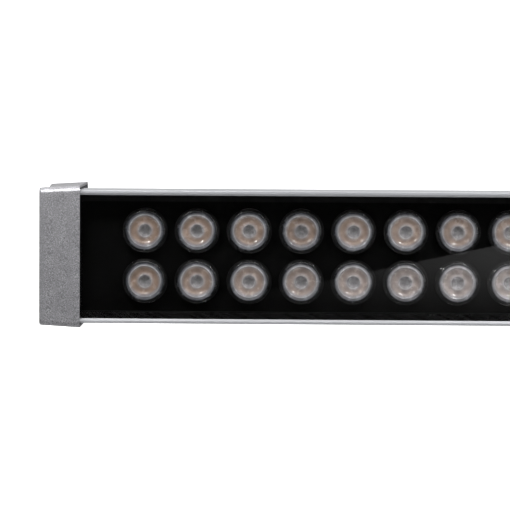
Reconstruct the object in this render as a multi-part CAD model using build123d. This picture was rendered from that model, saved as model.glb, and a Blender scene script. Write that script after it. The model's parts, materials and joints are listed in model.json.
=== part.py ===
from build123d import *
import os

# A one metre linear wash batten: an extruded aluminium housing with two rows of
# collimated emitters behind a sheet of glass, standing on two sliding, tilting feet.
# Millimetres. X runs along the housing, the light leaves towards -Y, +Z is up.
# The origin is on the floor, midway between the two foot bolt holes.

os.makedirs("parts", exist_ok=True)

# ---- driving dimensions ----
overall_length = 1000.0         # over the two end caps
housing_depth = 52.0            # front rim to rear track
housing_half_height = 32.6
front_y = -44.0                 # plane of the front rim
axis_z = 62.0                   # centreline of the housing above the floor
lens_pitch = 25.65
lens_rows = (12.45, -12.45)
module_count = 4
columns_per_module = 9
foot_spacing = 460.0
pivot_y = 28.0

# ---- housing section, depths are measured back from the front rim ----
cap_wall = 7.5                  # closed end, measured at the bezel
cap_width = 20.0
end_gasket_thickness = 1.5
extrusion_half_length = overall_length / 2 - cap_wall - end_gasket_thickness
rim_radius = 0.5
front_wall = 2.0
front_box_depth = 28.0
groove_front = 1.2
groove_back = 6.2
groove_half_height = 31.3
lip_half_height = 30.25
lip_edge = 0.15
ledge_depth = 1.8
ledge_half_height = 27.6
web_front = 24.0
web_back = 27.0
rear_half_height = 26.5
rear_wall_front = 44.0
rear_wall_back = 46.0
fin_thickness = 1.6
fin_pitch = 4.6
fin_reach = 31.0
fin_first_depth = 32.6
fin_first_height = 13.8
fins_on_a_side = 3
track_half_width = 7.2
track_opening_half = 3.5
track_lip = 1.8
track_wall = 2.0
port_places = ((20.5, 27.3), (41.0, 21.5))
port_boss_radius = 3.4
port_bore_radius = 2.05

# ---- front ----
glass_thickness = 4.0
glass_half_height = 31.0
glass_half_length = extrusion_half_length - 0.5
glass_seal_inner = 27.0
glass_seal_lip = 0.4            # how far the lip wraps behind the ledge

# ---- optics ----
board_length = 230.0
board_half_width = 23.0
board_thickness = 1.6
pad_thickness = 0.5
emitter_base_side = 3.5
emitter_base_thickness = 0.8
emitter_dome_radius = 1.25
holder_radius = 10.9
holder_wall = 0.8
holder_height = 12.0
holder_seat_width = 0.9
holder_floor_thickness = 1.0
holder_floor_radii = (5.2, 2.9)
lens_recess = 1.0               # face proud of the holder's rim, and seat below it
lens_seat_gap = 0.1
lens_radius = 10.0
lens_face_radius = 8.0
lens_face_step = 0.4
lens_cone_radii = (8.4, 7.0, 4.2)
lens_cone_clearance = 1.7
lens_pocket_radii = (2.4, 2.2)
lens_pocket_depths = (4.2, 4.6)
mask_front = 13.5
mask_thickness = 0.8
mask_hole_radius = 11.15
mask_half_height = 30.3
board_screw_steps = (-3.5, -0.5, 0.5, 3.5)
board_screw_radius = 1.45
board_screw_head_radius = 2.75
board_screw_head_height = 1.8
board_screw_key_across = 2.0
board_screw_key_depth = 1.0
board_screw_head_fillet = 0.8
board_screw_inset = 0.4
board_hole_clearance = 0.15
link_length = 10.0
link_half_width = 4.0
link_height = 3.0
link_slot_length = 7.0
link_slot_half_width = 0.9
link_slot_depth = 1.8

# ---- end caps ----
cap_outer_gap = 1.1             # beyond the housing at the closed end, top and bottom
cap_outer_gap_open = 2.2        # the same at the open end
cap_front_gap = 1.5             # beyond the housing at the closed end, front and rear
cap_front_gap_open = 2.7
cap_clearance = 0.3
cap_clearance_open = 1.1
cap_front_clearance_open = 1.6
cap_long_fillet = 3.0
cap_bezel_depth = 3.0           # the front bezel stands out beyond the end face behind it
cap_bezel_reach = 4.0
cap_end_reach_rear = 1.0        # the end face slopes back out towards the rear
cap_edge_fillet = 1.6
cap_bezel_fillet = 0.8
cap_inner_fillet = 0.6
screw_clearance = 0.2
screw_head_clearance = 0.3
screw_radius = 2.0
screw_seat = 4.8                # from the bezel's end to the screw heads' seat
screw_head_radius = 3.8
screw_head_height = 2.2
screw_head_fillet = 1.4
screw_tip_chamfer = 0.6
screw_length = 20.0
hex_key_across = 2.5
hex_key_depth = 1.3
gasket_margin = 0.4
gasket_duct_half_height = 18.0

# ---- cable glands and breather, right-hand cap ----
gland_depth = 35.5
gland_seat = 3.4                # from the bezel's end to the glands' seat
gland_seat_radius = 8.6
breather_seat = 3.8
breather_seat_radius = 7.2
gland_offset = 9.5
gland_stem_radius = 5.9
gland_bore_radius = 3.6
gland_hex_across = 14.0
gland_hex_thickness = 4.0
gland_nut_radius = 7.4
gland_nut_length = 11.8
gland_nut_shoulder = 4.0        # length of the domed end
gland_nut_bulge = 1.1
gland_nut_mouth_radius = 5.0
gland_nut_end_wall = 2.0
gland_grip_count = 12
gland_grip_radius = 0.9
gland_sleeve_wall = 0.3
gland_sleeve_length = 5.0
gland_seal_length = 4.8
gland_seal_radius = 5.2
cable_radius = 3.2
locknut_thickness = 4.0
thread_beyond_locknut = 0.5
gland_seal_gap = 0.1
gland_nut_gap = 0.2
gland_nut_clearance = 0.15
breather_depth = 16.0
breather_stem_radius = 3.9
breather_head_across = 12.0
breather_head_thickness = 4.5
breather_head_chamfer = 0.6
breather_stem_inside = 2.0
breather_vent_radius = 1.2
breather_vent_depth = 1.5

# ---- driver and wiring in the rear duct ----
driver_half_length = 90.0
driver_front = 28.5
driver_back = 43.0
driver_half_height = 16.5
driver_wall = 1.2
driver_plug_length = 4.0
driver_corner_radius = 2.0
driver_board_thickness = 1.6
driver_board_half_height = 14.0
driver_board_end_gap = 2.0
driver_board_standoff = 2.6
driver_plug_clearance = 0.1
driver_blocks = ((-60.0, -36.0, 32.0, -10.0, 10.0), (-20.0, 0.0, 33.0, -9.0, 5.0))
capacitor_xs = (20.0, 34.0, 48.0)
capacitor_height = 3.0
capacitor_radius = 5.0
capacitor_front = 31.5
terminal_x = 400.0
terminal_length = 30.0
terminal_back = 40.0
terminal_half_height = 9.0
terminal_well_inset = 6.0
terminal_well_radius = 1.5
terminal_well_depth = 4.0
lead_radius = 0.8
lead_bend = 4.0
grommet_x = -470.0
grommet_radius = 5.0
grommet_lip = 1.2
grommet_flange = 1.6
grommet_slot_length = 6.0
grommet_slot_width = 2.2
plug_inset = 0.5
plug_length = 5.0
plug_height = 3.0
plug_half_width = 3.5
lead_depth = 35.5

# ---- sliding carriages and feet ----
plate_thickness = 4.0
slide_gap = 0.3
ear_radius = 10.0
ear_inner_x = 205.5
carriage_length = 40.0
carriage_bolt_offsets = (9.0, 25.0)
track_nut_half_length = 6.0
track_nut_clearance = 0.25
track_nut_inset = 0.4
bolt_end_gap = 0.6
bolt_head_fillet = 1.0
pivot_radius = 4.0
running_clearance = 0.05
pivot_washer_radius = 9.0
pivot_washer_thickness = 2.0
outer_washer_thickness = 1.6
pivot_hex_across = 13.0
pivot_head_thickness = 5.3
pivot_nut_thickness = 6.5
pivot_nut_collar_radius = 5.6
pivot_nut_collar = 1.5
pivot_thread_beyond = 3.0
pivot_end_chamfer = 0.8
pivot_hex_chamfer = 0.5
foot_gap = 0.2
foot_width = 36.0
foot_half_depth = 42.0
foot_hole_radius = 4.5
foot_corner_radius = 6.0
foot_bend_relief = 2.0
foot_bend_radius = 2.5
foot_bend_gap = 0.5
flare_height = 24.0
flare_rise = 14.0
bolt_radius = 3.0
bolt_head_radius = 5.0
bolt_head_height = 4.4
bolt_key_across = 4.0
bolt_key_depth = 2.4
bolt_hole_clearance = 0.3
spring_washer_radius = 5.6
spring_washer_thickness = 1.2

end_x = overall_length / 2
cavity_x = end_x - cap_wall
screw_seat_x = end_x - screw_seat
gland_x = end_x - gland_seat
breather_x = end_x - breather_seat
board_back = web_front - pad_thickness


# ---- helpers ----
def slab(depth_from, depth_to, height_from, height_to):
    """A rectangle of the housing section."""
    middle = Pos((depth_from + depth_to) / 2, (height_from + height_to) / 2)
    return middle * Rectangle(depth_to - depth_from, abs(height_to - height_from))


def run_along(section, x_from, x_to):
    """Extrude a housing section from one station along X to another."""
    placed = Plane.YZ.offset(x_from) * (Pos(front_y, axis_z) * section)
    return extrude(placed, amount=x_to - x_from)


def block(x_from, x_to, depth_from, depth_to, height_from, height_to):
    return run_along(slab(depth_from, depth_to, height_from, height_to), x_from, x_to)


def rod_x(radius, x_from, x_to, depth, height):
    return run_along(Pos(depth, height) * Circle(radius), x_from, x_to)


def hexagon_x(across, x_from, x_to, depth, height):
    outline = RegularPolygon(across / 2, 6, major_radius=False)
    return run_along(Pos(depth, height) * outline, x_from, x_to)


def plate_facing_front(outline, depth_from, depth_to):
    """Extrude an outline drawn in X and height between two depths."""
    plane = Plane.XZ.offset(-(front_y + depth_to))
    return extrude(plane * (Pos(0, axis_z) * outline), amount=depth_to - depth_from)


def turned(profile, x, height):
    """Revolve a profile of (radius, depth) about an axis that points to the front."""
    ring = revolve(Plane.XY * profile, axis=Axis.Y)
    return Pos(x, front_y, axis_z + height) * ring


def turned_x(profile, depth, height):
    """Revolve a profile of (x, radius) about an axis along the housing."""
    return Pos(0, front_y + depth, axis_z + height) * revolve(profile, axis=Axis.X)


def outline_face(points):
    return make_face(Polyline(*points, close=True))


def both_heights(value):
    return (value, -value)


def write(name, *solids):
    """Write one sub-part to its own file."""
    shape = solids[0] if len(solids) == 1 else Compound(list(solids))
    export_step(shape, f"parts/{name}.step")


def column_x(module, column):
    return (module * columns_per_module + column + 0.5 - module_count * columns_per_module / 2) * lens_pitch


def module_x(module):
    return column_x(module, columns_per_module // 2)


def optic_places(module):
    places = []
    for column in range(columns_per_module):
        for row in lens_rows:
            places.append((column_x(module, column), row))
    return places


# ---- housing ----
def housing_section():
    section = slab(0, front_box_depth, -housing_half_height, housing_half_height)
    section = fillet(section.vertices().group_by(Axis.X)[0], rim_radius)
    section += slab(web_back, rear_wall_back, -rear_half_height, rear_half_height)
    track_half = track_half_width + track_wall
    section += slab(rear_wall_front, housing_depth, -track_half, track_half)
    half_fin = fin_thickness / 2
    for number in range(fins_on_a_side):
        depth = fin_first_depth + number * fin_pitch
        section += slab(depth - half_fin, depth + half_fin, -fin_reach, fin_reach)
        for height in both_heights(fin_first_height + number * fin_pitch):
            section += slab(rear_wall_front, housing_depth, height - half_fin, height + half_fin)

    # window between the lips, with a bevel towards the glass
    bevel_depth = groove_front - lip_edge
    bevel_half = lip_half_height + bevel_depth
    section -= outline_face([(0, bevel_half), (bevel_depth, lip_half_height),
                             (bevel_depth, -lip_half_height), (0, -bevel_half)])
    section -= slab(bevel_depth, groove_front, -lip_half_height, lip_half_height)
    section -= slab(groove_front, groove_back, -groove_half_height, groove_half_height)
    ledge_back = groove_back + ledge_depth
    section -= slab(groove_back, ledge_back, -ledge_half_height, ledge_half_height)
    inner_half = housing_half_height - front_wall
    section -= slab(ledge_back, web_front, -inner_half, inner_half)

    # rear duct and the T-shaped track behind it
    duct_half = rear_half_height - front_wall
    section -= slab(web_back, rear_wall_front, -duct_half, duct_half)
    lip_front = housing_depth - track_lip
    section -= slab(rear_wall_back, lip_front, -track_half_width, track_half_width)
    section -= slab(lip_front, housing_depth, -track_opening_half, track_opening_half)

    # screw ports
    for depth, offset in port_places:
        for height in both_heights(offset):
            section += Pos(depth, height) * Circle(port_boss_radius)
    for depth, offset in port_places:
        for height in both_heights(offset):
            section -= Pos(depth, height) * Circle(port_bore_radius)
    return section


def housing_extrusion():
    body = run_along(housing_section(), -extrusion_half_length, extrusion_half_length)
    web_hole = plate_facing_front(Pos(grommet_x, 0) * Circle(grommet_radius), web_front, web_back)
    body -= web_hole
    for x, height in board_screw_places():
        tapped = Pos(x, height) * Circle(board_screw_radius + running_clearance)
        body -= plate_facing_front(tapped, web_front, web_back)
    return body


def front_glass():
    outline = Rectangle(2 * glass_half_length, 2 * glass_half_height)
    return plate_facing_front(outline, groove_front, groove_front + glass_thickness)


def glass_seals():
    """One strip above and one below: a bed behind the glass and a lip that wraps the ledge."""
    strips = []
    for side in (1, -1):
        inner = side * glass_seal_inner
        bed = slab(groove_front + glass_thickness, groove_back, inner, side * glass_half_height)
        lip_back = groove_back + ledge_depth + glass_seal_lip
        lip = slab(groove_back, lip_back, inner, side * ledge_half_height)
        strips.append(run_along(bed + lip, -glass_half_length, glass_half_length))
    return strips


# ---- end caps, drawn for the right-hand end ----
def drafted_block(x_closed, x_open, closed_gaps, open_gaps):
    """A box around the housing that widens towards its open end."""
    faces = []
    for x, (height_gap, depth_gap) in ((x_closed, closed_gaps), (x_open, open_gaps)):
        half = housing_half_height + height_gap
        outline = slab(-depth_gap, housing_depth + depth_gap, -half, half)
        faces.append(Plane.YZ.offset(x) * (Pos(front_y, axis_z) * outline))
    return loft(faces, ruled=True)


def end_recess():
    """What is cut away behind the bezel, so that the end face slopes out to the rear."""
    beyond = 10.0
    start = front_y + cap_bezel_depth
    start_x = end_x - cap_bezel_reach
    slope = (cap_bezel_reach - cap_end_reach_rear) / (housing_depth - cap_bezel_depth)
    rear = front_y + housing_depth + beyond
    rear_x = start_x + slope * (rear - start)
    outline = outline_face([(end_x + beyond, start), (start_x, start), (rear_x, rear), (end_x + beyond, rear)])
    return extrude(outline, amount=2 * axis_z)


def end_cap():
    open_x = end_x - cap_width
    outer_gaps = (cap_outer_gap, cap_front_gap)
    outer_gaps_open = (cap_outer_gap_open, cap_front_gap_open)
    shell = drafted_block(end_x, open_x, outer_gaps, outer_gaps_open)
    shell = fillet(shell.edges().sort_by(Axis.X)[4:8], cap_long_fillet)
    shell -= end_recess()
    bezel_back = front_y + cap_bezel_depth
    behind_bezel = [face for face in shell.faces() if face.center().Y > bezel_back and face.normal_at().X > 0.9]
    end_edges = [edge for edge in behind_bezel[0].edges() if edge.center().Y > bezel_back + cap_bezel_fillet]
    shell = fillet(end_edges, cap_edge_fillet)
    shell = fillet(shell.faces().sort_by(Axis.X)[-1].edges(), cap_bezel_fillet)
    inner_gaps = (cap_clearance, cap_clearance)
    inner_gaps_open = (cap_clearance_open, cap_front_clearance_open)
    cavity = drafted_block(cavity_x, open_x, inner_gaps, inner_gaps_open)
    shell -= fillet(cavity.edges().sort_by(Axis.X)[4:8], cap_inner_fillet)
    for depth, height in cap_screw_places():
        shell -= rod_x(screw_radius + screw_clearance, cavity_x, end_x, depth, height)
        shell -= rod_x(screw_head_radius + screw_head_clearance, screw_seat_x, end_x, depth, height)
    return shell


def cap_screw_places():
    places = []
    for depth, offset in port_places:
        for height in both_heights(offset):
            places.append((depth, height))
    return places


def cap_screw(depth, height):
    tip_x = screw_seat_x - screw_length
    head_x = screw_seat_x + screw_head_height
    shank = rod_x(screw_radius, tip_x, screw_seat_x, depth, height)
    shank = chamfer(shank.edges().sort_by(Axis.X)[0], screw_tip_chamfer)
    head = rod_x(screw_head_radius, screw_seat_x, head_x, depth, height)
    head = fillet(head.edges().sort_by(Axis.X)[-1], screw_head_fillet)
    return shank + head - hexagon_x(hex_key_across, head_x - hex_key_depth, head_x, depth, height)


def end_gasket():
    half = housing_half_height - gasket_margin
    sheet = slab(gasket_margin, housing_depth - gasket_margin, -half, half)
    sheet -= slab(groove_back + ledge_depth, board_back, -board_half_width, board_half_width)
    sheet -= slab(web_back, rear_wall_front, -gasket_duct_half_height, gasket_duct_half_height)
    for depth, height in cap_screw_places():
        sheet -= Pos(depth, height) * Circle(screw_radius + screw_clearance)
    return run_along(sheet, extrusion_half_length, extrusion_half_length + end_gasket_thickness)


# ---- glands and breather ----
def gland_places():
    return [(gland_depth, height) for height in both_heights(gland_offset)]


def pierce_for_glands(cap):
    for depth, height in gland_places():
        cap -= rod_x(gland_stem_radius + running_clearance, cavity_x, end_x, depth, height)
        cap -= rod_x(gland_seat_radius, gland_x, end_x, depth, height)
    cap -= rod_x(breather_seat_radius, breather_x, end_x, breather_depth, 0)
    return cap - rod_x(breather_stem_radius + running_clearance, cavity_x, end_x, breather_depth, 0)


def gland_body(depth, height):
    stem_in = cavity_x - locknut_thickness - thread_beyond_locknut
    hex_back = gland_x + gland_hex_thickness
    stem_out = hex_back + gland_sleeve_length
    body = rod_x(gland_stem_radius, stem_in, gland_x, depth, height)
    body += hexagon_x(gland_hex_across, gland_x, hex_back, depth, height)
    body += rod_x(gland_seal_radius + gland_sleeve_wall, hex_back, stem_out, depth, height)
    return body - rod_x(gland_bore_radius, stem_in, stem_out, depth, height)


def gland_locknut(depth, height):
    back_x = cavity_x - locknut_thickness
    nut = hexagon_x(gland_hex_across, back_x, cavity_x, depth, height)
    return nut - rod_x(gland_stem_radius + running_clearance, back_x, cavity_x, depth, height)


def gland_seal(depth, height):
    x = gland_x + gland_hex_thickness + gland_sleeve_length + gland_seal_gap
    ring = rod_x(gland_seal_radius, x, x + gland_seal_length, depth, height)
    return ring - rod_x(cable_radius, x, x + gland_seal_length, depth, height)


def gland_dome_nut(depth, height):
    start = gland_x + gland_hex_thickness + gland_nut_gap
    end = start + gland_nut_length
    shoulder = end - gland_nut_shoulder
    mouth = gland_nut_mouth_radius
    sleeve_end = start + gland_sleeve_length
    end_wall = end - gland_nut_end_wall
    sleeve_bore = gland_seal_radius + gland_sleeve_wall + gland_nut_clearance
    outline = Polyline((start, 0), (start, gland_nut_radius), (shoulder, gland_nut_radius))
    bulge = (end - gland_nut_bulge, gland_nut_radius - gland_nut_bulge)
    outline += ThreePointArc((shoulder, gland_nut_radius), bulge, (end, mouth))
    outline += Polyline((end, mouth), (end, 0), (start, 0))
    nut = turned_x(make_face(outline), depth, height)
    nut -= rod_x(sleeve_bore, start, sleeve_end, depth, height)
    nut -= rod_x(gland_seal_radius + running_clearance, sleeve_end, end_wall, depth, height)
    nut -= rod_x(gland_bore_radius, end_wall, end, depth, height)
    grip_centres = PolarLocations(gland_nut_radius + gland_grip_radius / 2, gland_grip_count)
    notches = grip_centres * Circle(gland_grip_radius)
    for notch in notches:
        nut -= run_along(Pos(depth, height) * notch, start + gland_grip_radius, shoulder)
    return nut


def breather():
    stem_in = cavity_x - breather_stem_inside
    body = rod_x(breather_stem_radius, stem_in, breather_x, breather_depth, 0)
    head = hexagon_x(breather_head_across, breather_x, breather_x + breather_head_thickness, breather_depth, 0)
    body += chamfer(head.faces().sort_by(Axis.X)[-1].edges(), breather_head_chamfer)
    return body - rod_x(breather_vent_radius, stem_in, breather_x + breather_vent_depth, breather_depth, 0)


# ---- optics ----
def board_screw_places():
    places = []
    for module in range(module_count):
        for step in board_screw_steps:
            places.append((module_x(module) + step * lens_pitch, 0))
    return places


def board_sheet(module, thickness, depth_back, hole_radius):
    outline = Pos(module_x(module), 0) * Rectangle(board_length, 2 * board_half_width)
    for step in board_screw_steps:
        outline -= Pos(module_x(module) + step * lens_pitch, 0) * Circle(hole_radius)
    return plate_facing_front(outline, depth_back - thickness, depth_back)


board_front = board_back - board_thickness
holder_front = board_front - holder_height
lens_front = holder_front - lens_recess
seat_depth = holder_front + lens_recess


def board_screw(x, height):
    place = Pos(x, height)
    head_front = board_front - board_screw_head_height
    shank = plate_facing_front(place * Circle(board_screw_radius), board_front, web_back - board_screw_inset)
    head = plate_facing_front(place * Circle(board_screw_head_radius), head_front, board_front)
    head = fillet(head.edges().sort_by(Axis.Y)[0], board_screw_head_fillet)
    key = place * RegularPolygon(board_screw_key_across / 2, 6, major_radius=False)
    return shank + head - plate_facing_front(key, head_front, head_front + board_screw_key_depth)


def emitter(x, height):
    base_front = board_front - emitter_base_thickness
    outline = Pos(x, height) * Rectangle(emitter_base_side, emitter_base_side)
    base = plate_facing_front(outline, base_front, board_front)
    ball = Pos(x, front_y + base_front, axis_z + height) * Sphere(emitter_dome_radius)
    return base + (ball & plate_facing_front(outline, lens_front, base_front))


def lens_holder(x, height):
    outer = holder_radius
    bore = outer - holder_wall
    seat = bore - holder_seat_width
    floor = board_front - holder_floor_thickness
    floor_outer, floor_inner = holder_floor_radii
    profile = outline_face([(outer, holder_front), (bore, holder_front), (bore, seat_depth),
                            (seat, seat_depth), (floor_outer, floor), (floor_inner, floor),
                            (floor_inner, board_front), (outer, board_front)])
    return turned(profile, x, height)


def collimator(x, height):
    flange_front = lens_front + lens_face_step
    flange_back = seat_depth - lens_seat_gap
    cone_end = board_front - lens_cone_clearance
    cone_top, cone_middle, cone_foot = lens_cone_radii
    pocket_mouth, pocket_top = lens_pocket_radii
    pocket_depth, pocket_crown = lens_pocket_depths
    front = Polyline((0, lens_front), (lens_face_radius, lens_front), (lens_face_radius, flange_front),
                     (lens_radius, flange_front), (lens_radius, flange_back), (cone_top, flange_back))
    middle = (cone_middle, (flange_back + cone_end) / 2)
    cone = ThreePointArc((cone_top, flange_back), middle, (cone_foot, cone_end))
    pocket = Polyline((cone_foot, cone_end), (pocket_mouth, cone_end), (pocket_top, cone_end - pocket_depth),
                      (0, cone_end - pocket_crown), (0, lens_front))
    return turned(make_face(front + cone + pocket), x, height)


def mask_plate():
    outline = Rectangle(2 * glass_half_length, 2 * mask_half_height)
    for module in range(module_count):
        for x, row in optic_places(module):
            outline -= Pos(x, row) * Circle(mask_hole_radius)
    return plate_facing_front(outline, mask_front, mask_front + mask_thickness)


def board_link(x):
    half = link_length / 2
    half_slot = link_slot_length / 2
    front = board_front - link_height
    body = block(x - half, x + half, front, board_front, -link_half_width, link_half_width)
    for height in both_heights(link_half_width / 2):
        low = height - link_slot_half_width
        high = height + link_slot_half_width
        body -= block(x - half_slot, x + half_slot, front, front + link_slot_depth, low, high)
    return body


# ---- driver and wiring ----
def driver_case():
    shell = block(-driver_half_length, driver_half_length, driver_front, driver_back,
                  -driver_half_height, driver_half_height)
    shell = fillet(shell.edges().filter_by(Axis.X), driver_corner_radius)
    inner_half = driver_half_height - driver_wall
    hollow = block(-driver_half_length, driver_half_length, driver_front + driver_wall,
                   driver_back - driver_wall, -inner_half, inner_half)
    return shell - fillet(hollow.edges().filter_by(Axis.X), driver_corner_radius / 2)


def driver_plug(side):
    inset = driver_wall + driver_plug_clearance
    half = driver_half_height - inset
    x_from, x_to = sorted((side * driver_half_length, side * (driver_half_length - driver_plug_length)))
    plug = block(x_from, x_to, driver_front + inset, driver_back - inset, -half, half)
    plug = fillet(plug.edges().filter_by(Axis.X), driver_corner_radius / 2)
    for height in lead_heights(side):
        plug -= rod_x(lead_radius + driver_plug_clearance, x_from, x_to, lead_depth, height)
    return plug


def driver_board():
    half = driver_half_length - driver_plug_length - driver_board_end_gap
    board_rear = driver_back - driver_board_standoff
    face = board_rear - driver_board_thickness
    board = block(-half, half, face, board_rear, -driver_board_half_height, driver_board_half_height)
    for x_from, x_to, front, low, high in driver_blocks:
        board += block(x_from, x_to, front, face, low, high)
    for x in capacitor_xs:
        board += plate_facing_front(Pos(x, capacitor_height) * Circle(capacitor_radius), capacitor_front, face)
    return board


def lead_heights(side):
    return (-4.0, 0.0, 4.0) if side > 0 else (-1.6, 1.6)


def input_lead(height):
    return rod_x(lead_radius, driver_half_length - driver_plug_length, terminal_x, lead_depth, height)


def output_lead(height):
    """From the driver along the duct, through the web and back to the first board."""
    y = front_y + lead_depth
    z = axis_z + height
    front = front_y + board_front - 2 * lead_radius
    start = (driver_plug_length - driver_half_length, y, z)
    corners = (start, (grommet_x, y, z), (grommet_x, front, z), (supply_plug_x, front, z))
    route = FilletPolyline(*corners, radius=lead_bend)
    section = Plane(start, x_dir=(0, 1, 0), z_dir=(-1, 0, 0)) * Circle(lead_radius)
    return sweep(section, path=route)


supply_plug_x = module_x(0) - board_length / 2 + plug_inset


def supply_plug():
    """Plug on the first board where the two driver leads end."""
    front = board_front - plug_height
    plug_end_x = supply_plug_x + plug_length
    return block(supply_plug_x, plug_end_x, front, board_front, -plug_half_width, plug_half_width)


def web_grommet():
    flange = Pos(grommet_x, 0) * Circle(grommet_radius + grommet_flange)
    neck = Pos(grommet_x, 0) * Circle(grommet_radius - running_clearance)
    ring = plate_facing_front(flange, web_front - grommet_lip, web_front)
    ring += plate_facing_front(neck, web_front, web_back)
    ring += plate_facing_front(flange, web_back, web_back + grommet_lip)
    opening = Pos(grommet_x, 0) * SlotOverall(grommet_slot_length, grommet_slot_width, rotation=90)
    return ring - plate_facing_front(opening, web_front - grommet_lip, web_back + grommet_lip)


def terminal_block():
    body = block(terminal_x, terminal_x + terminal_length, driver_front, terminal_back,
                 -terminal_half_height, terminal_half_height)
    for height in lead_heights(1):
        for x in (terminal_x + terminal_well_inset, terminal_x + terminal_length - terminal_well_inset):
            well = Pos(x, height) * Circle(terminal_well_radius)
            body -= plate_facing_front(well, terminal_back - terminal_well_depth, terminal_back)
    return body


# ---- carriages and feet, drawn for the right-hand side ----
ear_outer_x = ear_inner_x + plate_thickness
carriage_x = ear_outer_x - carriage_length
track_back = housing_depth + slide_gap
plate_back = track_back + plate_thickness
pivot_depth = pivot_y - front_y
washer_x = ear_outer_x + pivot_washer_thickness
upright_x = washer_x + foot_gap
upright_outer_x = upright_x + plate_thickness
washer_radii = (pivot_washer_radius, pivot_radius + running_clearance)


def washer(x_from, x_to):
    outer, inner = washer_radii
    ring = rod_x(outer, x_from, x_to, pivot_depth, 0)
    return ring - rod_x(inner, x_from, x_to, pivot_depth, 0)


def carriage():
    plate = block(carriage_x, ear_outer_x, track_back, plate_back, -ear_radius, ear_radius)
    ear = slab(track_back, pivot_depth, -ear_radius, ear_radius) + Pos(pivot_depth, 0) * Circle(ear_radius)
    bracket = plate + run_along(ear, ear_inner_x, ear_outer_x)
    outer_edge = bracket.edges().filter_by(Axis.Z).group_by(Axis.X)[-1].sort_by(Axis.Y)[0]
    bracket = fillet(outer_edge, plate_thickness)
    bracket -= rod_x(pivot_radius + running_clearance, ear_inner_x, ear_outer_x, pivot_depth, 0)
    for x in carriage_bolt_xs():
        hole = Pos(x, 0) * Circle(bolt_radius + bolt_hole_clearance)
        bracket -= plate_facing_front(hole, track_back, plate_back)
    return bracket


def carriage_bolt_xs():
    return [carriage_x + offset for offset in carriage_bolt_offsets]


def track_nut(x):
    x_from = x - track_nut_half_length
    x_to = x + track_nut_half_length
    half = track_half_width - track_nut_clearance
    neck_half = track_opening_half - track_nut_clearance
    nut_front = rear_wall_back + track_nut_clearance
    nut_back = housing_depth - track_lip - track_nut_clearance
    neck_back = housing_depth - track_nut_inset
    body = block(x_from, x_to, nut_front, nut_back, -half, half)
    body += block(x_from, x_to, nut_back, neck_back, -neck_half, neck_half)
    thread = Pos(x, 0) * Circle(bolt_radius + running_clearance)
    return body - plate_facing_front(thread, nut_front, neck_back)


def carriage_bolt(x):
    seat = plate_back + spring_washer_thickness
    head_back = seat + bolt_head_height
    shank_front = rear_wall_back + bolt_end_gap
    bolt = plate_facing_front(Pos(x, 0) * Circle(bolt_radius), shank_front, seat)
    head = plate_facing_front(Pos(x, 0) * Circle(bolt_head_radius), seat, head_back)
    head = fillet(head.edges().sort_by(Axis.Y)[-1], bolt_head_fillet)
    key = Pos(x, 0) * RegularPolygon(bolt_key_across / 2, 6, major_radius=False)
    return bolt + head - plate_facing_front(key, head_back - bolt_key_depth, head_back)


def spring_washer(x):
    ring = Pos(x, 0) * (Circle(spring_washer_radius) - Circle(bolt_radius + bolt_hole_clearance))
    return plate_facing_front(ring, plate_back, plate_back + spring_washer_thickness)


pivot_head_x = upright_outer_x + foot_gap + outer_washer_thickness
pivot_nut_x = ear_inner_x - outer_washer_thickness
pivot_nut_end_x = pivot_nut_x - pivot_nut_thickness
pivot_collar_end_x = pivot_nut_end_x - pivot_nut_collar


def pivot_bolt():
    bolt = rod_x(pivot_radius, pivot_collar_end_x - pivot_thread_beyond, pivot_head_x, pivot_depth, 0)
    bolt = chamfer(bolt.edges().sort_by(Axis.X)[0], pivot_end_chamfer)
    head = hexagon_x(pivot_hex_across, pivot_head_x, pivot_head_x + pivot_head_thickness, pivot_depth, 0)
    return bolt + chamfer(head.faces().sort_by(Axis.X)[-1].edges(), pivot_hex_chamfer)


def pivot_nut():
    nut = hexagon_x(pivot_hex_across, pivot_nut_end_x, pivot_nut_x, pivot_depth, 0)
    nut = chamfer(nut.faces().sort_by(Axis.X)[0].edges(), pivot_hex_chamfer)
    nut += rod_x(pivot_nut_collar_radius, pivot_collar_end_x, pivot_nut_end_x, pivot_depth, 0)
    return nut - rod_x(pivot_radius + running_clearance, pivot_collar_end_x, pivot_nut_x, pivot_depth, 0)


def foot_outline():
    """The upright seen along X: an eye for the pivot, flaring out towards the base."""
    front = pivot_y - ear_radius
    back = pivot_y + ear_radius
    base_front = foot_corner_radius
    base_back = foot_half_depth - foot_corner_radius
    rise = flare_height - flare_rise
    outline = outline_face([(front, axis_z), (front, flare_height), (base_front, rise), (base_front, 0),
                            (base_back, 0), (base_back, rise), (back, flare_height), (back, axis_z)])
    return outline + Pos(pivot_y, axis_z) * Circle(ear_radius)


def foot_bracket():
    base_width = foot_width - foot_bend_relief
    base = Rectangle(base_width, 2 * foot_half_depth)
    base = fillet(base.vertices(), foot_corner_radius)
    base_x = upright_x + foot_bend_relief + base_width / 2
    plate = extrude(Pos(base_x, 0) * base, amount=plate_thickness)
    upright = extrude(Plane.YZ.offset(upright_x) * foot_outline(), amount=plate_thickness)
    bend_edge = upright.edges().filter_by(Axis.Y).group_by(Axis.Z)[0].sort_by(Axis.X)[0]
    upright = fillet(bend_edge, plate_thickness - foot_bend_gap)
    bracket = upright + plate
    near = 0.01
    inside = bracket.edges().filter_by(Axis.Y)
    inside = inside.filter_by_position(Axis.X, upright_outer_x - near, upright_outer_x + near)
    inside = inside.filter_by_position(Axis.Z, plate_thickness - near, plate_thickness + near)
    bracket = fillet(inside, foot_bend_radius)
    bore = Pos(pivot_y, axis_z) * Circle(pivot_radius + running_clearance)
    bracket -= extrude(Plane.YZ.offset(upright_x) * bore, amount=plate_thickness)
    return bracket - Pos(foot_spacing / 2, 0, 0) * Cylinder(foot_hole_radius, 3 * plate_thickness)


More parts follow.
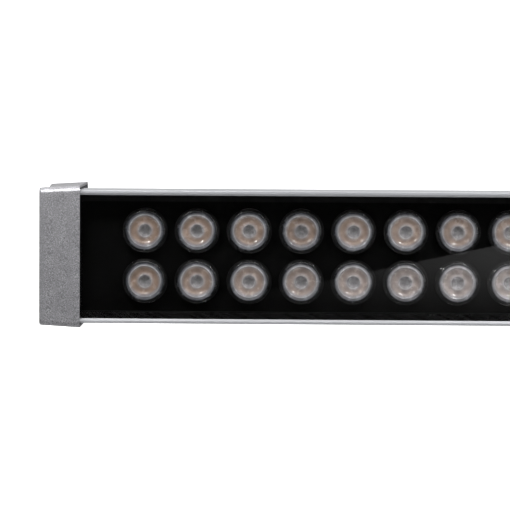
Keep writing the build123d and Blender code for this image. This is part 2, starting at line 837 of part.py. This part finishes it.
# ---- write every sub-part ----
def mirrored(solids):
    return [mirror(solid, about=Plane.YZ) for solid in solids]


write("housing_extrusion", housing_extrusion())
write("front_glass", front_glass())
write("glass_seals", *glass_seals())

cap_screws = [cap_screw(depth, height) for depth, height in cap_screw_places()]
plain_cap = end_cap()
write("right_end_cap", pierce_for_glands(plain_cap))
write("left_end_cap", *mirrored([plain_cap]))
write("right_end_gasket", end_gasket())
write("left_end_gasket", *mirrored([end_gasket()]))
write("right_cap_screws", *cap_screws)
write("left_cap_screws", *mirrored(cap_screws))

write("gland_bodies", *[gland_body(depth, height) for depth, height in gland_places()])
write("gland_locknuts", *[gland_locknut(depth, height) for depth, height in gland_places()])
write("gland_seals", *[gland_seal(depth, height) for depth, height in gland_places()])
write("gland_dome_nuts", *[gland_dome_nut(depth, height) for depth, height in gland_places()])
write("breather", breather())

for module in range(module_count):
    number = module + 1
    places = optic_places(module)
    board = board_sheet(module, board_thickness, board_back, board_screw_radius + board_hole_clearance)
    write(f"led_board_{number}", board)
    write(f"emitters_{number}", *[emitter(x, row) for x, row in places])
    write(f"lens_holders_{number}", *[lens_holder(x, row) for x, row in places])
    write(f"lenses_{number}", *[collimator(x, row) for x, row in places])
pad_hole_radius = board_screw_radius + 2 * board_hole_clearance
pads = [board_sheet(module, pad_thickness, web_front, pad_hole_radius) for module in range(module_count)]
write("thermal_pads", *pads)
write("mask_plate", mask_plate())
write("board_screws", *[board_screw(x, height) for x, height in board_screw_places()])
link_xs = [module_x(module) + columns_per_module * lens_pitch / 2 for module in range(module_count - 1)]
write("board_links", *[board_link(x) for x in link_xs])
write("supply_plug", supply_plug())

write("driver_case", driver_case())
write("driver_end_plugs", driver_plug(-1), driver_plug(1))
write("driver_board", driver_board())
write("input_leads", *[input_lead(height) for height in lead_heights(1)])
write("output_leads", *[output_lead(height) for height in lead_heights(-1)])
write("web_grommet", web_grommet())
write("terminal_block", terminal_block())

bracket_parts = {
    "carriage": [carriage()],
    "track_nuts": [track_nut(x) for x in carriage_bolt_xs()],
    "carriage_bolts": [carriage_bolt(x) for x in carriage_bolt_xs()],
    "spring_washers": [spring_washer(x) for x in carriage_bolt_xs()],
    "pivot_bolt": [pivot_bolt()],
    "pivot_washers": [washer(ear_outer_x, washer_x), washer(pivot_nut_x, ear_inner_x),
                      washer(pivot_head_x - outer_washer_thickness, pivot_head_x)],
    "pivot_nut": [pivot_nut()],
    "foot_bracket": [foot_bracket()],
}
for name, solids in bracket_parts.items():
    write(f"right_{name}", *solids)
    write(f"left_{name}", *mirrored(solids))
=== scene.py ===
import json
import math
import random

import bmesh
import bpy
from mathutils import Matrix, Vector


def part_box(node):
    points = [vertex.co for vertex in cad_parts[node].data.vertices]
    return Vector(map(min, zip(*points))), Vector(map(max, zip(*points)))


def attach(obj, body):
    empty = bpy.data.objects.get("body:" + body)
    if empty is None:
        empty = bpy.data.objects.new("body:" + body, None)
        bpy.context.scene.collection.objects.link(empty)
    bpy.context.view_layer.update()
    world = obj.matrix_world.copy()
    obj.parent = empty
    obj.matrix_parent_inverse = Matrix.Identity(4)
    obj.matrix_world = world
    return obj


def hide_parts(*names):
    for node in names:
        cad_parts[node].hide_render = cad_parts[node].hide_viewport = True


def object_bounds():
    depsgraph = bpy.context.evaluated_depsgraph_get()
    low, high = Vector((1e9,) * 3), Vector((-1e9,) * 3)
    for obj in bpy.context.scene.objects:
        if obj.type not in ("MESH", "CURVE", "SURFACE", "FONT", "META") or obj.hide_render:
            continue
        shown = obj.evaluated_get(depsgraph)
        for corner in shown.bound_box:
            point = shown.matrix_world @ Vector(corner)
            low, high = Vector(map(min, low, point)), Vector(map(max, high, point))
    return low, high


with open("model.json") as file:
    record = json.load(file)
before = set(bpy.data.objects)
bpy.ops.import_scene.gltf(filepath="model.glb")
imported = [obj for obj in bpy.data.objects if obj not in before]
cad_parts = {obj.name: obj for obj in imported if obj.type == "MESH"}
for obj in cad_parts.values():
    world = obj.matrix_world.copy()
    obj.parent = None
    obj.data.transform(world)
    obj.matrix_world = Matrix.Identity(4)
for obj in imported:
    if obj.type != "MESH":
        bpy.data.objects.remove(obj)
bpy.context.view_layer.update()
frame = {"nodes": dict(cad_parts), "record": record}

nodes = frame["nodes"]
mm = 0.001
slotOf = {row["node"]: row["material_slot"] for row in frame["record"]["subparts"]}


# shader maths: a wire is one output of a node, and sums on wires add Math nodes

class Wire:
    def __init__(self, sheet, socket):
        self.sheet = sheet
        self.socket = socket

    def maths(self, operation, first, second):
        return self.sheet.node("Math", {"operation": operation}, {0: first, 1: second})

    def __add__(self, other):
        return self.maths("ADD", self, other)

    def __sub__(self, other):
        return self.maths("SUBTRACT", self, other)

    def __mul__(self, other):
        return self.maths("MULTIPLY", self, other)

    def __radd__(self, other):
        return self.maths("ADD", other, self)

    def __rsub__(self, other):
        return self.maths("SUBTRACT", other, self)

    def __rmul__(self, other):
        return self.maths("MULTIPLY", other, self)


# the node sheet of one material

class Sheet:
    def __init__(self, name, owner=None):
        self.owner = owner or bpy.data.materials.new(name)
        self.owner.use_nodes = True
        self.tree = self.owner.node_tree
        self.tree.nodes.clear()

    def node(self, kind, settings=None, sockets=None, output=0):
        made = self.tree.nodes.new("ShaderNode" + kind)
        for key, value in (settings or {}).items():
            if key == "stops":
                fillRamp(made.color_ramp, value)
            else:
                setattr(made, key, value)
        for key, value in (sockets or {}).items():
            if isinstance(value, Wire):
                self.tree.links.new(value.socket, made.inputs[key])
            else:
                made.inputs[key].default_value = value
        return Wire(self, made.outputs[output] if len(made.outputs) else None)

    def noise(self, size, detail=2.0, stretch=(1, 1, 1), roughness=0.5):
        # size is the width of one blotch in metres
        place = self.node("TexCoord", output="Object")
        place = self.node("Mapping", {}, {"Vector": place, "Scale": stretch})
        sockets = {"Vector": place, "Scale": 1 / size, "Detail": detail, "Roughness": roughness}
        return self.node("TexNoise", {}, sockets)

    def step(self, value, low, high, toLow=0.0, toHigh=1.0):
        sockets = {"Value": value, "From Min": low, "From Max": high, "To Min": toLow, "To Max": toHigh}
        return self.node("MapRange", {"interpolation_type": "SMOOTHSTEP"}, sockets)

    def tint(self, mask, first, second):
        return self.node("Mix", {"data_type": "RGBA"}, {0: mask, 6: first, 7: second}, output=2)

    def bump(self, height, depth, strength=1.0):
        return self.node("Bump", {}, {"Height": height, "Distance": depth, "Strength": strength})

    def shader(self, sockets):
        return self.node("BsdfPrincipled", {}, sockets)

    def close(self, shader):
        self.node("OutputMaterial", {}, {"Surface": shader})
        return self.owner


def fillRamp(ramp, stops):
    while len(ramp.elements) > 1:
        ramp.elements.remove(ramp.elements[-1])
    for number, (position, colour) in enumerate(stops):
        element = ramp.elements.new(position) if number else ramp.elements[0]
        element.position = position
        element.color = colour


def grey(value, warmth=0.0):
    return (value * (1 + warmth), value, value * (1 - warmth), 1.0)


# metals

anodised = {
    "dark": (0.27, 0.274, 0.288, 1), "light": (0.35, 0.354, 0.37, 1), "metal": 0.3, "rough": (0.34, 0.5),
    "lineWidth": 0.35 * mm, "lineStretch": 0.012, "cloud": 18 * mm, "depth": 0.02 * mm,
}


def anodisedAluminium(name, look):
    sheet = Sheet(name)
    # drawing lines run along the extrusion
    lines = sheet.noise(look["lineWidth"], 3.0, stretch=(look["lineStretch"], 1, 1))
    cloud = sheet.noise(look["cloud"], 3.0)
    colour = sheet.tint(lines * 0.7 + cloud * 0.3, look["dark"], look["light"])
    return sheet.close(sheet.shader({
        "Base Color": colour, "Metallic": look["metal"],
        "Roughness": sheet.step(lines, 0.3, 0.7, *look["rough"]),
        "Normal": sheet.bump(lines, look["depth"], 0.5)}))


powder = {"base": (0.255, 0.253, 0.266, 1), "fleck": (0.46, 0.455, 0.475, 1), "pit": (0.12, 0.119, 0.126, 1)}
bracketPowder = {"base": (0.20, 0.20, 0.21, 1), "fleck": (0.36, 0.36, 0.37, 1), "pit": (0.09, 0.09, 0.095, 1)}
coating = {
    "grain": 0.4 * mm, "cloud": 9 * mm, "peel": 1.3 * mm, "depth": 0.06 * mm,
    "metal": 0.5, "rough": (0.3, 0.44),
}


def powderCoat(name, look):
    sheet = Sheet(name)
    grain = sheet.noise(coating["grain"], 3.0, roughness=0.6)
    cloud = sheet.noise(coating["cloud"], 2.0)
    colour = sheet.tint(sheet.step(grain, 0.50, 0.64), look["base"], look["fleck"])
    colour = sheet.tint(sheet.step(grain, 0.48, 0.34), colour, look["pit"])
    colour = sheet.tint(sheet.step(cloud, 0.3, 0.75, 0.0, 0.25), colour, look["pit"])
    peel = sheet.noise(coating["peel"], 1.5)
    return sheet.close(sheet.shader({
        "Base Color": colour, "Metallic": coating["metal"],
        "Roughness": sheet.step(grain, 0.3, 0.7, *coating["rough"]),
        "Normal": sheet.bump(grain * 0.4 + peel * 0.6, coating["depth"], 0.6)}))


plate = {"dark": (0.42, 0.42, 0.40, 1), "light": (0.66, 0.65, 0.62, 1), "rough": (0.26, 0.42)}
stainless = {"dark": grey(0.40), "light": grey(0.60), "rough": (0.22, 0.36)}
steelWear = {"cloud": 2.2 * mm, "scratch": 0.4 * mm, "scratchStretch": 0.15, "depth": 0.01 * mm}


def platedSteel(name, look):
    sheet = Sheet(name)
    cloud = sheet.noise(steelWear["cloud"], 4.0)
    scratch = sheet.noise(steelWear["scratch"], 3.0, stretch=(1, steelWear["scratchStretch"], 1))
    mask = sheet.step(cloud * 0.6 + scratch * 0.4, 0.3, 0.7)
    return sheet.close(sheet.shader({
        "Base Color": sheet.tint(mask, look["dark"], look["light"]), "Metallic": 1.0,
        "Roughness": sheet.step(scratch, 0.3, 0.7, *look["rough"]),
        "Normal": sheet.bump(scratch, steelWear["depth"], 0.5)}))


# plastics and rubber: one recipe, with its own numbers for each

plastics = {
    "blackNylon": {
        "dark": grey(0.018), "light": grey(0.035), "rough": (0.42, 0.6),
        "grain": 0.5 * mm, "depth": 0.05 * mm},
    "blackRubber": {
        "dark": grey(0.002), "light": grey(0.005), "rough": (0.62, 0.8),
        "grain": 0.8 * mm, "depth": 0.04 * mm, "shine": 0.12},
    "holderBlack": {
        "dark": grey(0.006), "light": grey(0.012), "rough": (0.10, 0.15),
        "grain": 5 * mm, "depth": 0.002 * mm, "shine": 0.3},
    "maskBlack": {
        "dark": grey(0.0008), "light": grey(0.0016), "rough": (0.75, 0.9),
        "grain": 1.0 * mm, "depth": 0.01 * mm, "shine": 0.04},
    "solderBlack": {
        "dark": grey(0.01), "light": grey(0.02), "rough": (0.3, 0.45),
        "grain": 3 * mm, "depth": 0.01 * mm},
    "connectorWhite": {
        "dark": grey(0.62, 0.02), "light": grey(0.74, 0.02), "rough": (0.35, 0.5),
        "grain": 1.2 * mm, "depth": 0.02 * mm},
    "padGrey": {
        "dark": grey(0.3), "light": grey(0.38), "rough": (0.7, 0.85),
        "grain": 1.5 * mm, "depth": 0.05 * mm},
    "leadRed": {
        "dark": (0.32, 0.02, 0.02, 1), "light": (0.45, 0.03, 0.03, 1), "rough": (0.35, 0.5),
        "grain": 2 * mm, "depth": 0.02 * mm},
    "phosphor": {
        "dark": (0.75, 0.5, 0.1, 1), "light": (0.9, 0.68, 0.2, 1), "rough": (0.15, 0.3),
        "grain": 0.6 * mm, "depth": 0.01 * mm},
}
usualShine = 0.35


def moulded(name, look):
    sheet = Sheet(name)
    grain = sheet.noise(look["grain"], 3.0)
    cloud = sheet.noise(look["grain"] * 12, 2.0)
    mask = sheet.step(grain * 0.5 + cloud * 0.5, 0.3, 0.7)
    return sheet.close(sheet.shader({
        "Base Color": sheet.tint(mask, look["dark"], look["light"]),
        "Roughness": sheet.step(grain, 0.3, 0.7, *look["rough"]),
        "Specular IOR Level": look.get("shine", usualShine),
        "Normal": sheet.bump(grain, look["depth"], 0.5)}))


clearGlass = {"roughness": 0.0, "shine": (1, 1, 1, 1), "straight": 0.035}


def glassSheet(name, look):
    # clear pane that only adds its reflection, and more of it at a slant
    sheet = Sheet(name)
    gloss = sheet.node("BsdfGlossy", {}, {"Color": look["shine"], "Roughness": look["roughness"]})
    clear = sheet.node("BsdfTransparent")
    slant = sheet.node("LayerWeight", {}, {"Blend": 0.5}, output="Facing")
    mirror = look["straight"] + slant * slant * slant * slant * slant * (1 - look["straight"])
    return sheet.close(sheet.node("MixShader", {}, {0: mirror, 1: clear, 2: gloss}))


# acrylic collimator, coloured by the ring it belongs to, with painted light on it: radius runs from 0 to 1
# over the flange

acrylic = {
    # painted highlight: the pale stop at 0.775 lights the lip ring; the other stops give each ring its tone
    "ringsAndPaintedLight": [
        (0.00, (0.150, 0.149, 0.153, 1)), (0.18, (0.155, 0.152, 0.155, 1)), (0.24, (0.20, 0.195, 0.198, 1)),
        (0.31, (0.27, 0.258, 0.262, 1)), (0.38, (0.24, 0.200, 0.180, 1)), (0.48, (0.235, 0.170, 0.132, 1)),
        (0.62, (0.225, 0.160, 0.122, 1)), (0.69, (0.225, 0.186, 0.165, 1)), (0.74, (0.235, 0.222, 0.222, 1)),
        (0.775, (0.31, 0.305, 0.315, 1)), (0.80, (0.20, 0.20, 0.212, 1)), (0.84, (0.085, 0.089, 0.1, 1)),
        (0.90, (0.036, 0.038, 0.044, 1)), (0.94, (0.014, 0.015, 0.017, 1)), (1.00, (0.006, 0.006, 0.007, 1))],
    # painted light: two tints here, a bluish grey for the lower side of each lens and a pale grey veil over
    # the face
    "rough": (0.12, 0.3), "paintedLowerTint": (0.215, 0.218, 0.24, 1), "paintedLight": (0.47, 0.46, 0.475, 1),
    "shadow": (0.56, 0.545, 0.54, 1), "blotch": 3.2 * mm, "coat": 0.5, "coatRough": 0.12, "ior": 1.49,
}


def collimatorAcrylic(name, look):
    sheet = Sheet(name)
    radius, facet, shade, low, paintedLight = (
        sheet.node("Attribute", {"attribute_name": key}, output="Fac")
        for key in ("radius", "facet", "shade", "low", "paintedLight"))
    blotch = sheet.noise(look["blotch"], 2.0)
    ringsAndPaintedLight = sheet.node("ValToRGB", {"stops": look["ringsAndPaintedLight"]}, {"Fac": radius}, output="Color")
    # painted light: a pale crescent below the face, from radius 0.60 to 0.94, lightens the lower side of each
    # lens
    paintedLowerMask = sheet.step(low, 0.62, 1.0) * sheet.step(radius, 0.60, 0.72) * sheet.step(radius, 0.94, 0.88)
    ringsAndPaintedLight = sheet.tint(paintedLowerMask * 0.6, ringsAndPaintedLight, look["paintedLowerTint"])
    # painted light: a pale veil over the face of each lens up to the flange, strongest on the lenses made
    # paler in makeOptics
    ringsAndPaintedLight = sheet.tint(paintedLight * sheet.step(radius, 0.92, 0.82), ringsAndPaintedLight, look["paintedLight"])
    lift = facet * 0.25 + sheet.step(blotch, 0.3, 0.7) * 0.5 + shade * 0.35
    darker = sheet.node("Mix", {"data_type": "RGBA", "blend_type": "MULTIPLY"},
                        {0: 1.0 - lift, 6: ringsAndPaintedLight, 7: look["shadow"]}, output=2)
    return sheet.close(sheet.shader({
        "Base Color": darker, "Roughness": sheet.step(blotch, 0.3, 0.7, *look["rough"]),
        "Coat Weight": look["coat"], "Coat Roughness": look["coatRough"], "IOR": look["ior"]}))


finishes = {
    "anodised_extrusion": anodisedAluminium("anodisedAluminium", anodised),
    "driver_aluminium": anodisedAluminium("drawnTube", anodised),
    "grey_cap_paint": powderCoat("capPowderCoat", powder),
    "grey_bracket_paint": powderCoat("bracketPowderCoat", bracketPowder),
    "zinc_steel": platedSteel("zincPlate", plate),
    "stainless_steel": platedSteel("stainless", stainless),
    "front_glass": glassSheet("clearGlass", clearGlass),
    "lens_acrylic": collimatorAcrylic("collimatorAcrylic", acrylic),
    "black_nylon": moulded("blackNylon", plastics["blackNylon"]),
    "black_rubber": moulded("blackRubber", plastics["blackRubber"]),
    "black_holder": moulded("holderBlack", plastics["holderBlack"]),
    "black_mask": moulded("maskBlack", plastics["maskBlack"]),
    "circuit_board": moulded("solderBlack", plastics["solderBlack"]),
    "white_connector": moulded("connectorWhite", plastics["connectorWhite"]),
    "grey_thermal_pad": moulded("padGrey", plastics["padGrey"]),
    "red_lead": moulded("leadRed", plastics["leadRed"]),
    "emitter_phosphor": moulded("phosphor", plastics["phosphor"]),
}
print("finishes made:", len(finishes))


# CAD pieces keep their shape and take their finish

softEdges = {
    "housing_extrusion": 0.25 * mm, "left_end_cap": 0.25 * mm, "right_end_cap": 0.25 * mm,
    "left_carriage": 0.4 * mm, "right_carriage": 0.4 * mm,
    "left_foot_bracket": 0.5 * mm, "right_foot_bracket": 0.5 * mm,
    "left_track_nuts": 0.3 * mm, "right_track_nuts": 0.3 * mm,
    "gland_bodies": 0.3 * mm, "breather": 0.2 * mm,
}


def softenEdges(piece, width):
    weld = piece.modifiers.new("weld", "WELD")
    weld.merge_threshold = 0.002 * mm
    bevel = piece.modifiers.new("edges", "BEVEL")
    bevel.width = width
    bevel.segments = 2
    bevel.limit_method = "ANGLE"
    bevel.angle_limit = math.radians(40)
    bevel.harden_normals = False


def dressCadPieces():
    for name, piece in nodes.items():
        piece.data.materials.clear()
        piece.data.materials.append(finishes[slotOf[name]])
        if name in softEdges:
            softenEdges(piece, softEdges[name])


dressCadPieces()
print("CAD pieces dressed:", len(nodes))


# optics: every lens and collar is turned about its own axis, which points to the front

def spin(name, places, profile, closed, segments, extras=None):
    # profile is (radius, y) in metres; extras gives named numbers for a point of the turning
    points, faces, facts = [], [], {key: [] for key in (extras or {})}
    rows = len(profile)
    for number, (x, z) in enumerate(places):
        start = len(points)
        for radius, y in profile:
            for turn in range(segments):
                angle = math.tau * turn / segments
                points.append((x + radius * math.cos(angle), y, z + radius * math.sin(angle)))
                for key, rule in (extras or {}).items():
                    facts[key].append(rule(number, radius, angle))
        for row in range(rows if closed else rows - 1):
            for turn in range(segments):
                nextTurn = (turn + 1) % segments
                low, high = start + row * segments, start + (row + 1) % rows * segments
                faces.append((low + turn, high + turn, high + nextTurn, low + nextTurn))
        if not closed:
            faces.append(tuple(start + turn for turn in range(segments)))
            faces.append(tuple(start + (rows - 1) * segments + turn for turn in reversed(range(segments))))
    mesh = bpy.data.meshes.new(name)
    mesh.from_pydata(points, [], faces)
    for key, values in facts.items():
        mesh.attributes.new(key, "FLOAT", "POINT").data.foreach_set("value", values)
    work = bmesh.new()
    work.from_mesh(mesh)
    bmesh.ops.recalc_face_normals(work, faces=work.faces)
    work.to_mesh(mesh)
    work.free()
    mesh.polygons.foreach_set("use_smooth", [True] * len(mesh.polygons))
    mesh.set_sharp_from_angle(angle=math.radians(42))
    piece = bpy.data.objects.new(name, mesh)
    bpy.context.collection.objects.link(piece)
    return piece


def opticPlaces(module):
    # the middles of the lenses of one module, from its CAD box: nine columns, two rows
    low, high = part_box(f"lenses_{module}")
    reach = lens["flange"] * mm
    firstX, lastX = low.x + reach, high.x - reach
    columns = lens["columns"]
    xs = [firstX + (lastX - firstX) * number / (columns - 1) for number in range(columns)]
    return [(x, z) for x in xs for z in (high.z - reach, low.z + reach)]


# radii and depths in mm, depth from the front of the lens
lens = {
    "flange": 10.0, "columns": 9, "segments": 56,
    "profile": [
        # well in the middle
        (0.02, 4.1), (1.0, 4.05), (1.6, 3.95), (2.1, 3.75), (2.45, 3.4), (2.65, 2.9), (2.85, 2.3), (3.1, 1.95),
        # crown round it
        (3.4, 1.85), (3.7, 1.95), (4.2, 2.15), (4.9, 2.25), (5.7, 2.05), (6.4, 1.6), (6.95, 1.05), (7.3, 0.5),
        # lip and flange
        (7.55, 0.08), (7.75, 0.0), (7.9, 0.1), (8.0, 0.45), (8.2, 0.62), (9.2, 0.66), (9.75, 0.7),
        (9.93, 0.85), (9.95, 1.2), (9.95, 1.85),
        # cone at the back
        (8.4, 1.9), (7.0, 6.8), (4.2, 11.2), (0.02, 11.25)],
}
collar = {
    "segments": 72,
    "profile": [
        (10.9, 1.7), (10.88, 1.35), (10.78, 1.12), (10.6, 1.02), (10.4, 1.05), (10.24, 1.18), (10.16, 1.4),
        (10.16, 1.95), (9.25, 2.0), (5.3, 12.0), (2.95, 12.0), (2.95, 12.9), (10.9, 12.95)],
}
# paleness of the lenses, painted light: none beyond "from" metres off the middle, full "reach" nearer to it
paleness = {"from": 0.455, "reach": 0.17, "lowerRow": 0.42, "upperRow": 0.12}


def makeOptics(module, chance):
    places = opticPlaces(module)
    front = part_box(f"lenses_{module}")[0].y
    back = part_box(f"lens_holders_{module}")[1].y
    # painted light: the lower row is paler, and so is the middle of the batten
    middle = sum(z for x, z in places) / len(places)
    paintedLights = []
    for x, z in places:
        inward = min(1.0, max(0.0, (paleness["from"] - abs(x)) / paleness["reach"]))
        paintedLights.append(inward * (paleness["lowerRow"] if z < middle else paleness["upperRow"]))
    shades = [chance.uniform(0, 1) for place in places]
    turns = [chance.uniform(0, math.tau) for place in places]
    extras = {
        "radius": lambda number, radius, angle: radius / (lens["flange"] * mm),
        "facet": lambda number, radius, angle: 0.5 + 0.5 * math.cos(6 * angle + turns[number]),
        "shade": lambda number, radius, angle: shades[number],
        "low": lambda number, radius, angle: 0.5 - 0.5 * math.sin(angle),
        "paintedLight": lambda number, radius, angle: paintedLights[number],
    }
    profile = [(radius * mm, front + depth * mm) for radius, depth in lens["profile"]]
    lenses = spin(f"collimators_{module}", places, profile, False, lens["segments"], extras)
    lenses.data.materials.append(finishes["lens_acrylic"])
    profile = [(radius * mm, min(front + depth * mm, back)) for radius, depth in collar["profile"]]
    collars = spin(f"collars_{module}", places, profile, True, collar["segments"])
    collars.data.materials.append(finishes["black_holder"])
    for piece, node, slot in ((lenses, f"lenses_{module}", "lens_acrylic"),
                              (collars, f"lens_holders_{module}", "black_holder")):
        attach(piece, "housing")
        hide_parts(node)


moduleCount = 4
chance = random.Random(5)
for module in range(1, moduleCount + 1):
    makeOptics(module, chance)
print("optics made for modules:", moduleCount)


# floor, light and camera

room = {
    "floorSize": 60.0, "floorWhite": 0.86, "floorGlow": 1.0, "floorGap": 0.05 * mm,
    "world": 0.75, "sky": 1.15,
    "frontGloss": 0.004, "overheadGloss": 1.1, "behindGloss": 0.4, "belowGloss": 0.12,
}


def makeFloor():
    half = room["floorSize"] / 2
    mesh = bpy.data.meshes.new("floor")
    corners = [(-half, -half, 0), (half, -half, 0), (half, half, 0), (-half, half, 0)]
    mesh.from_pydata(corners, [], [(0, 1, 2, 3)])
    floor = bpy.data.objects.new("floor", mesh)
    bpy.context.collection.objects.link(floor)
    floor.location.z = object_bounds()[0].z - room["floorGap"]
    sheet = Sheet("floorPaint")
    seen = sheet.node("LightPath", output="Is Camera Ray")
    mesh.materials.append(sheet.close(sheet.shader({
        "Base Color": grey(room["floorWhite"]), "Roughness": 0.9, "Specular IOR Level": 0.0,
        "Emission Color": sheet.tint(seen, grey(0.0), grey(1.0)), "Emission Strength": room["floorGlow"]})))
    floor.visible_glossy = False


def makeWorld():
    # white to look at and for soft light; what gloss sees is dark in front and bright overhead
    world = bpy.data.worlds.new("studio")
    bpy.context.scene.world = world
    sheet = Sheet("studio", world)
    direction = sheet.node("TexCoord", output="Generated")
    up = sheet.node("SeparateXYZ", {}, {0: direction}, output="Z")
    back = sheet.node("SeparateXYZ", {}, {0: direction}, output="Y")
    overhead = sheet.step(up, 0.25, 0.75, 0.0, room["overheadGloss"])
    behind = sheet.step(back, -0.2, 0.5, 0.0, room["behindGloss"])
    below = sheet.step(up, -0.3, -0.8, 0.0, room["belowGloss"])
    gloss = room["frontGloss"] + overhead + behind + below
    rays = sheet.node("LightPath", output="Is Camera Ray")
    shine = sheet.node("LightPath", output="Is Glossy Ray")
    plain = room["world"] + rays * (room["sky"] - room["world"])
    strength = plain * (1.0 - shine) + gloss * shine
    glow = sheet.node("Background", {}, {"Color": grey(1.0), "Strength": strength})
    sheet.node("OutputWorld", {}, {"Surface": glow})


# a pale card low in front of the glass, which only gloss can see
card = {
    "y": -0.393, "foot": 0.001,
    "edge": [(-0.56, 0.004), (-0.46, 0.012), (-0.36, 0.028), (-0.10, 0.084)],
    "left": 0.015, "bright": 0.5, "low": 0.10,
}


def makeCard():
    mesh = bpy.data.meshes.new("card")
    top = [(x, card["y"], z) for x, z in card["edge"]]
    foot = [(x, card["y"], card["foot"]) for x, z in card["edge"]]
    count = len(top)
    faces = [(number, number + 1, count + number + 1, count + number) for number in range(count - 1)]
    mesh.from_pydata(top + foot, [], faces)
    piece = bpy.data.objects.new("card", mesh)
    bpy.context.collection.objects.link(piece)
    sheet = Sheet("cardGlow")
    place = sheet.node("TexCoord", output="Generated")
    across = sheet.node("SeparateXYZ", {}, {0: place}, output="X")
    up = sheet.node("SeparateXYZ", {}, {0: place}, output="Z")
    glow = sheet.step(across, 0.25, 0.85, card["left"], card["bright"])
    glow = glow * sheet.step(up, 0.0, 0.6, card["low"], 1.0)
    colour = sheet.tint(glow, grey(0.0), grey(1.0))
    mesh.materials.append(sheet.close(sheet.node("Emission", {}, {"Color": colour, "Strength": 1.0})))
    piece.visible_camera = False
    piece.visible_diffuse = False
    piece.visible_shadow = False


lamps = [
    {"name": "lampLeft", "at": (-0.507, -0.170, 0.232), "size": 0.03, "power": 0.36},
    {"name": "lampMiddleLeft", "at": (-0.227, -0.170, 0.240), "size": 0.03, "power": 0.36},
    {"name": "lampMiddleRight", "at": (0.227, -0.170, 0.240), "size": 0.03, "power": 0.36},
    {"name": "lampRight", "at": (0.507, -0.170, 0.232), "size": 0.03, "power": 0.36},
    {"name": "softboxTop", "at": (0.0, -0.5, 1.6), "size": 1.6, "power": 14.0},
    {"name": "fillLow", "at": (0.35, -1.1, 0.12), "size": 0.5, "power": 1.6},
]


aimHeight = 0.05


def makeLamps():
    for look in lamps:
        data = bpy.data.lights.new(look["name"], "AREA")
        data.size = look["size"]
        data.energy = look["power"]
        lamp = bpy.data.objects.new(look["name"], data)
        bpy.context.collection.objects.link(lamp)
        lamp.location = look["at"]
        aim = Vector((look["at"][0], 0, aimHeight)) - Vector(look["at"])
        lamp.rotation_euler = aim.to_track_quat("-Z", "Y").to_euler()
        lamp.visible_camera = False


view = {
    "place": (-0.3566, -1.7372, 0.1608), "target": (-0.3944, -0.044, 0.0634),
    "lens": 245.12, "sensor": 36, "roll": 0.318, "near": 0.01, "far": 200,
}


def makeCamera():
    data = bpy.data.cameras.new("camera")
    data.lens = view["lens"]
    data.sensor_width = view["sensor"]
    data.clip_start = view["near"]
    data.clip_end = view["far"]
    camera = bpy.data.objects.new("camera", data)
    bpy.context.collection.objects.link(camera)
    place = Vector(view["place"])
    aim = (Vector(view["target"]) - place).to_track_quat("-Z", "Y").to_matrix().to_4x4()
    roll = Matrix.Rotation(math.radians(view["roll"]), 4, "Z")
    camera.matrix_world = Matrix.Translation(place) @ aim @ roll
    bpy.context.scene.camera = camera


makeFloor()
makeCard()
makeWorld()
makeLamps()
makeCamera()
bpy.context.scene.view_settings.view_transform = "Standard"
print("stage, light and camera set")
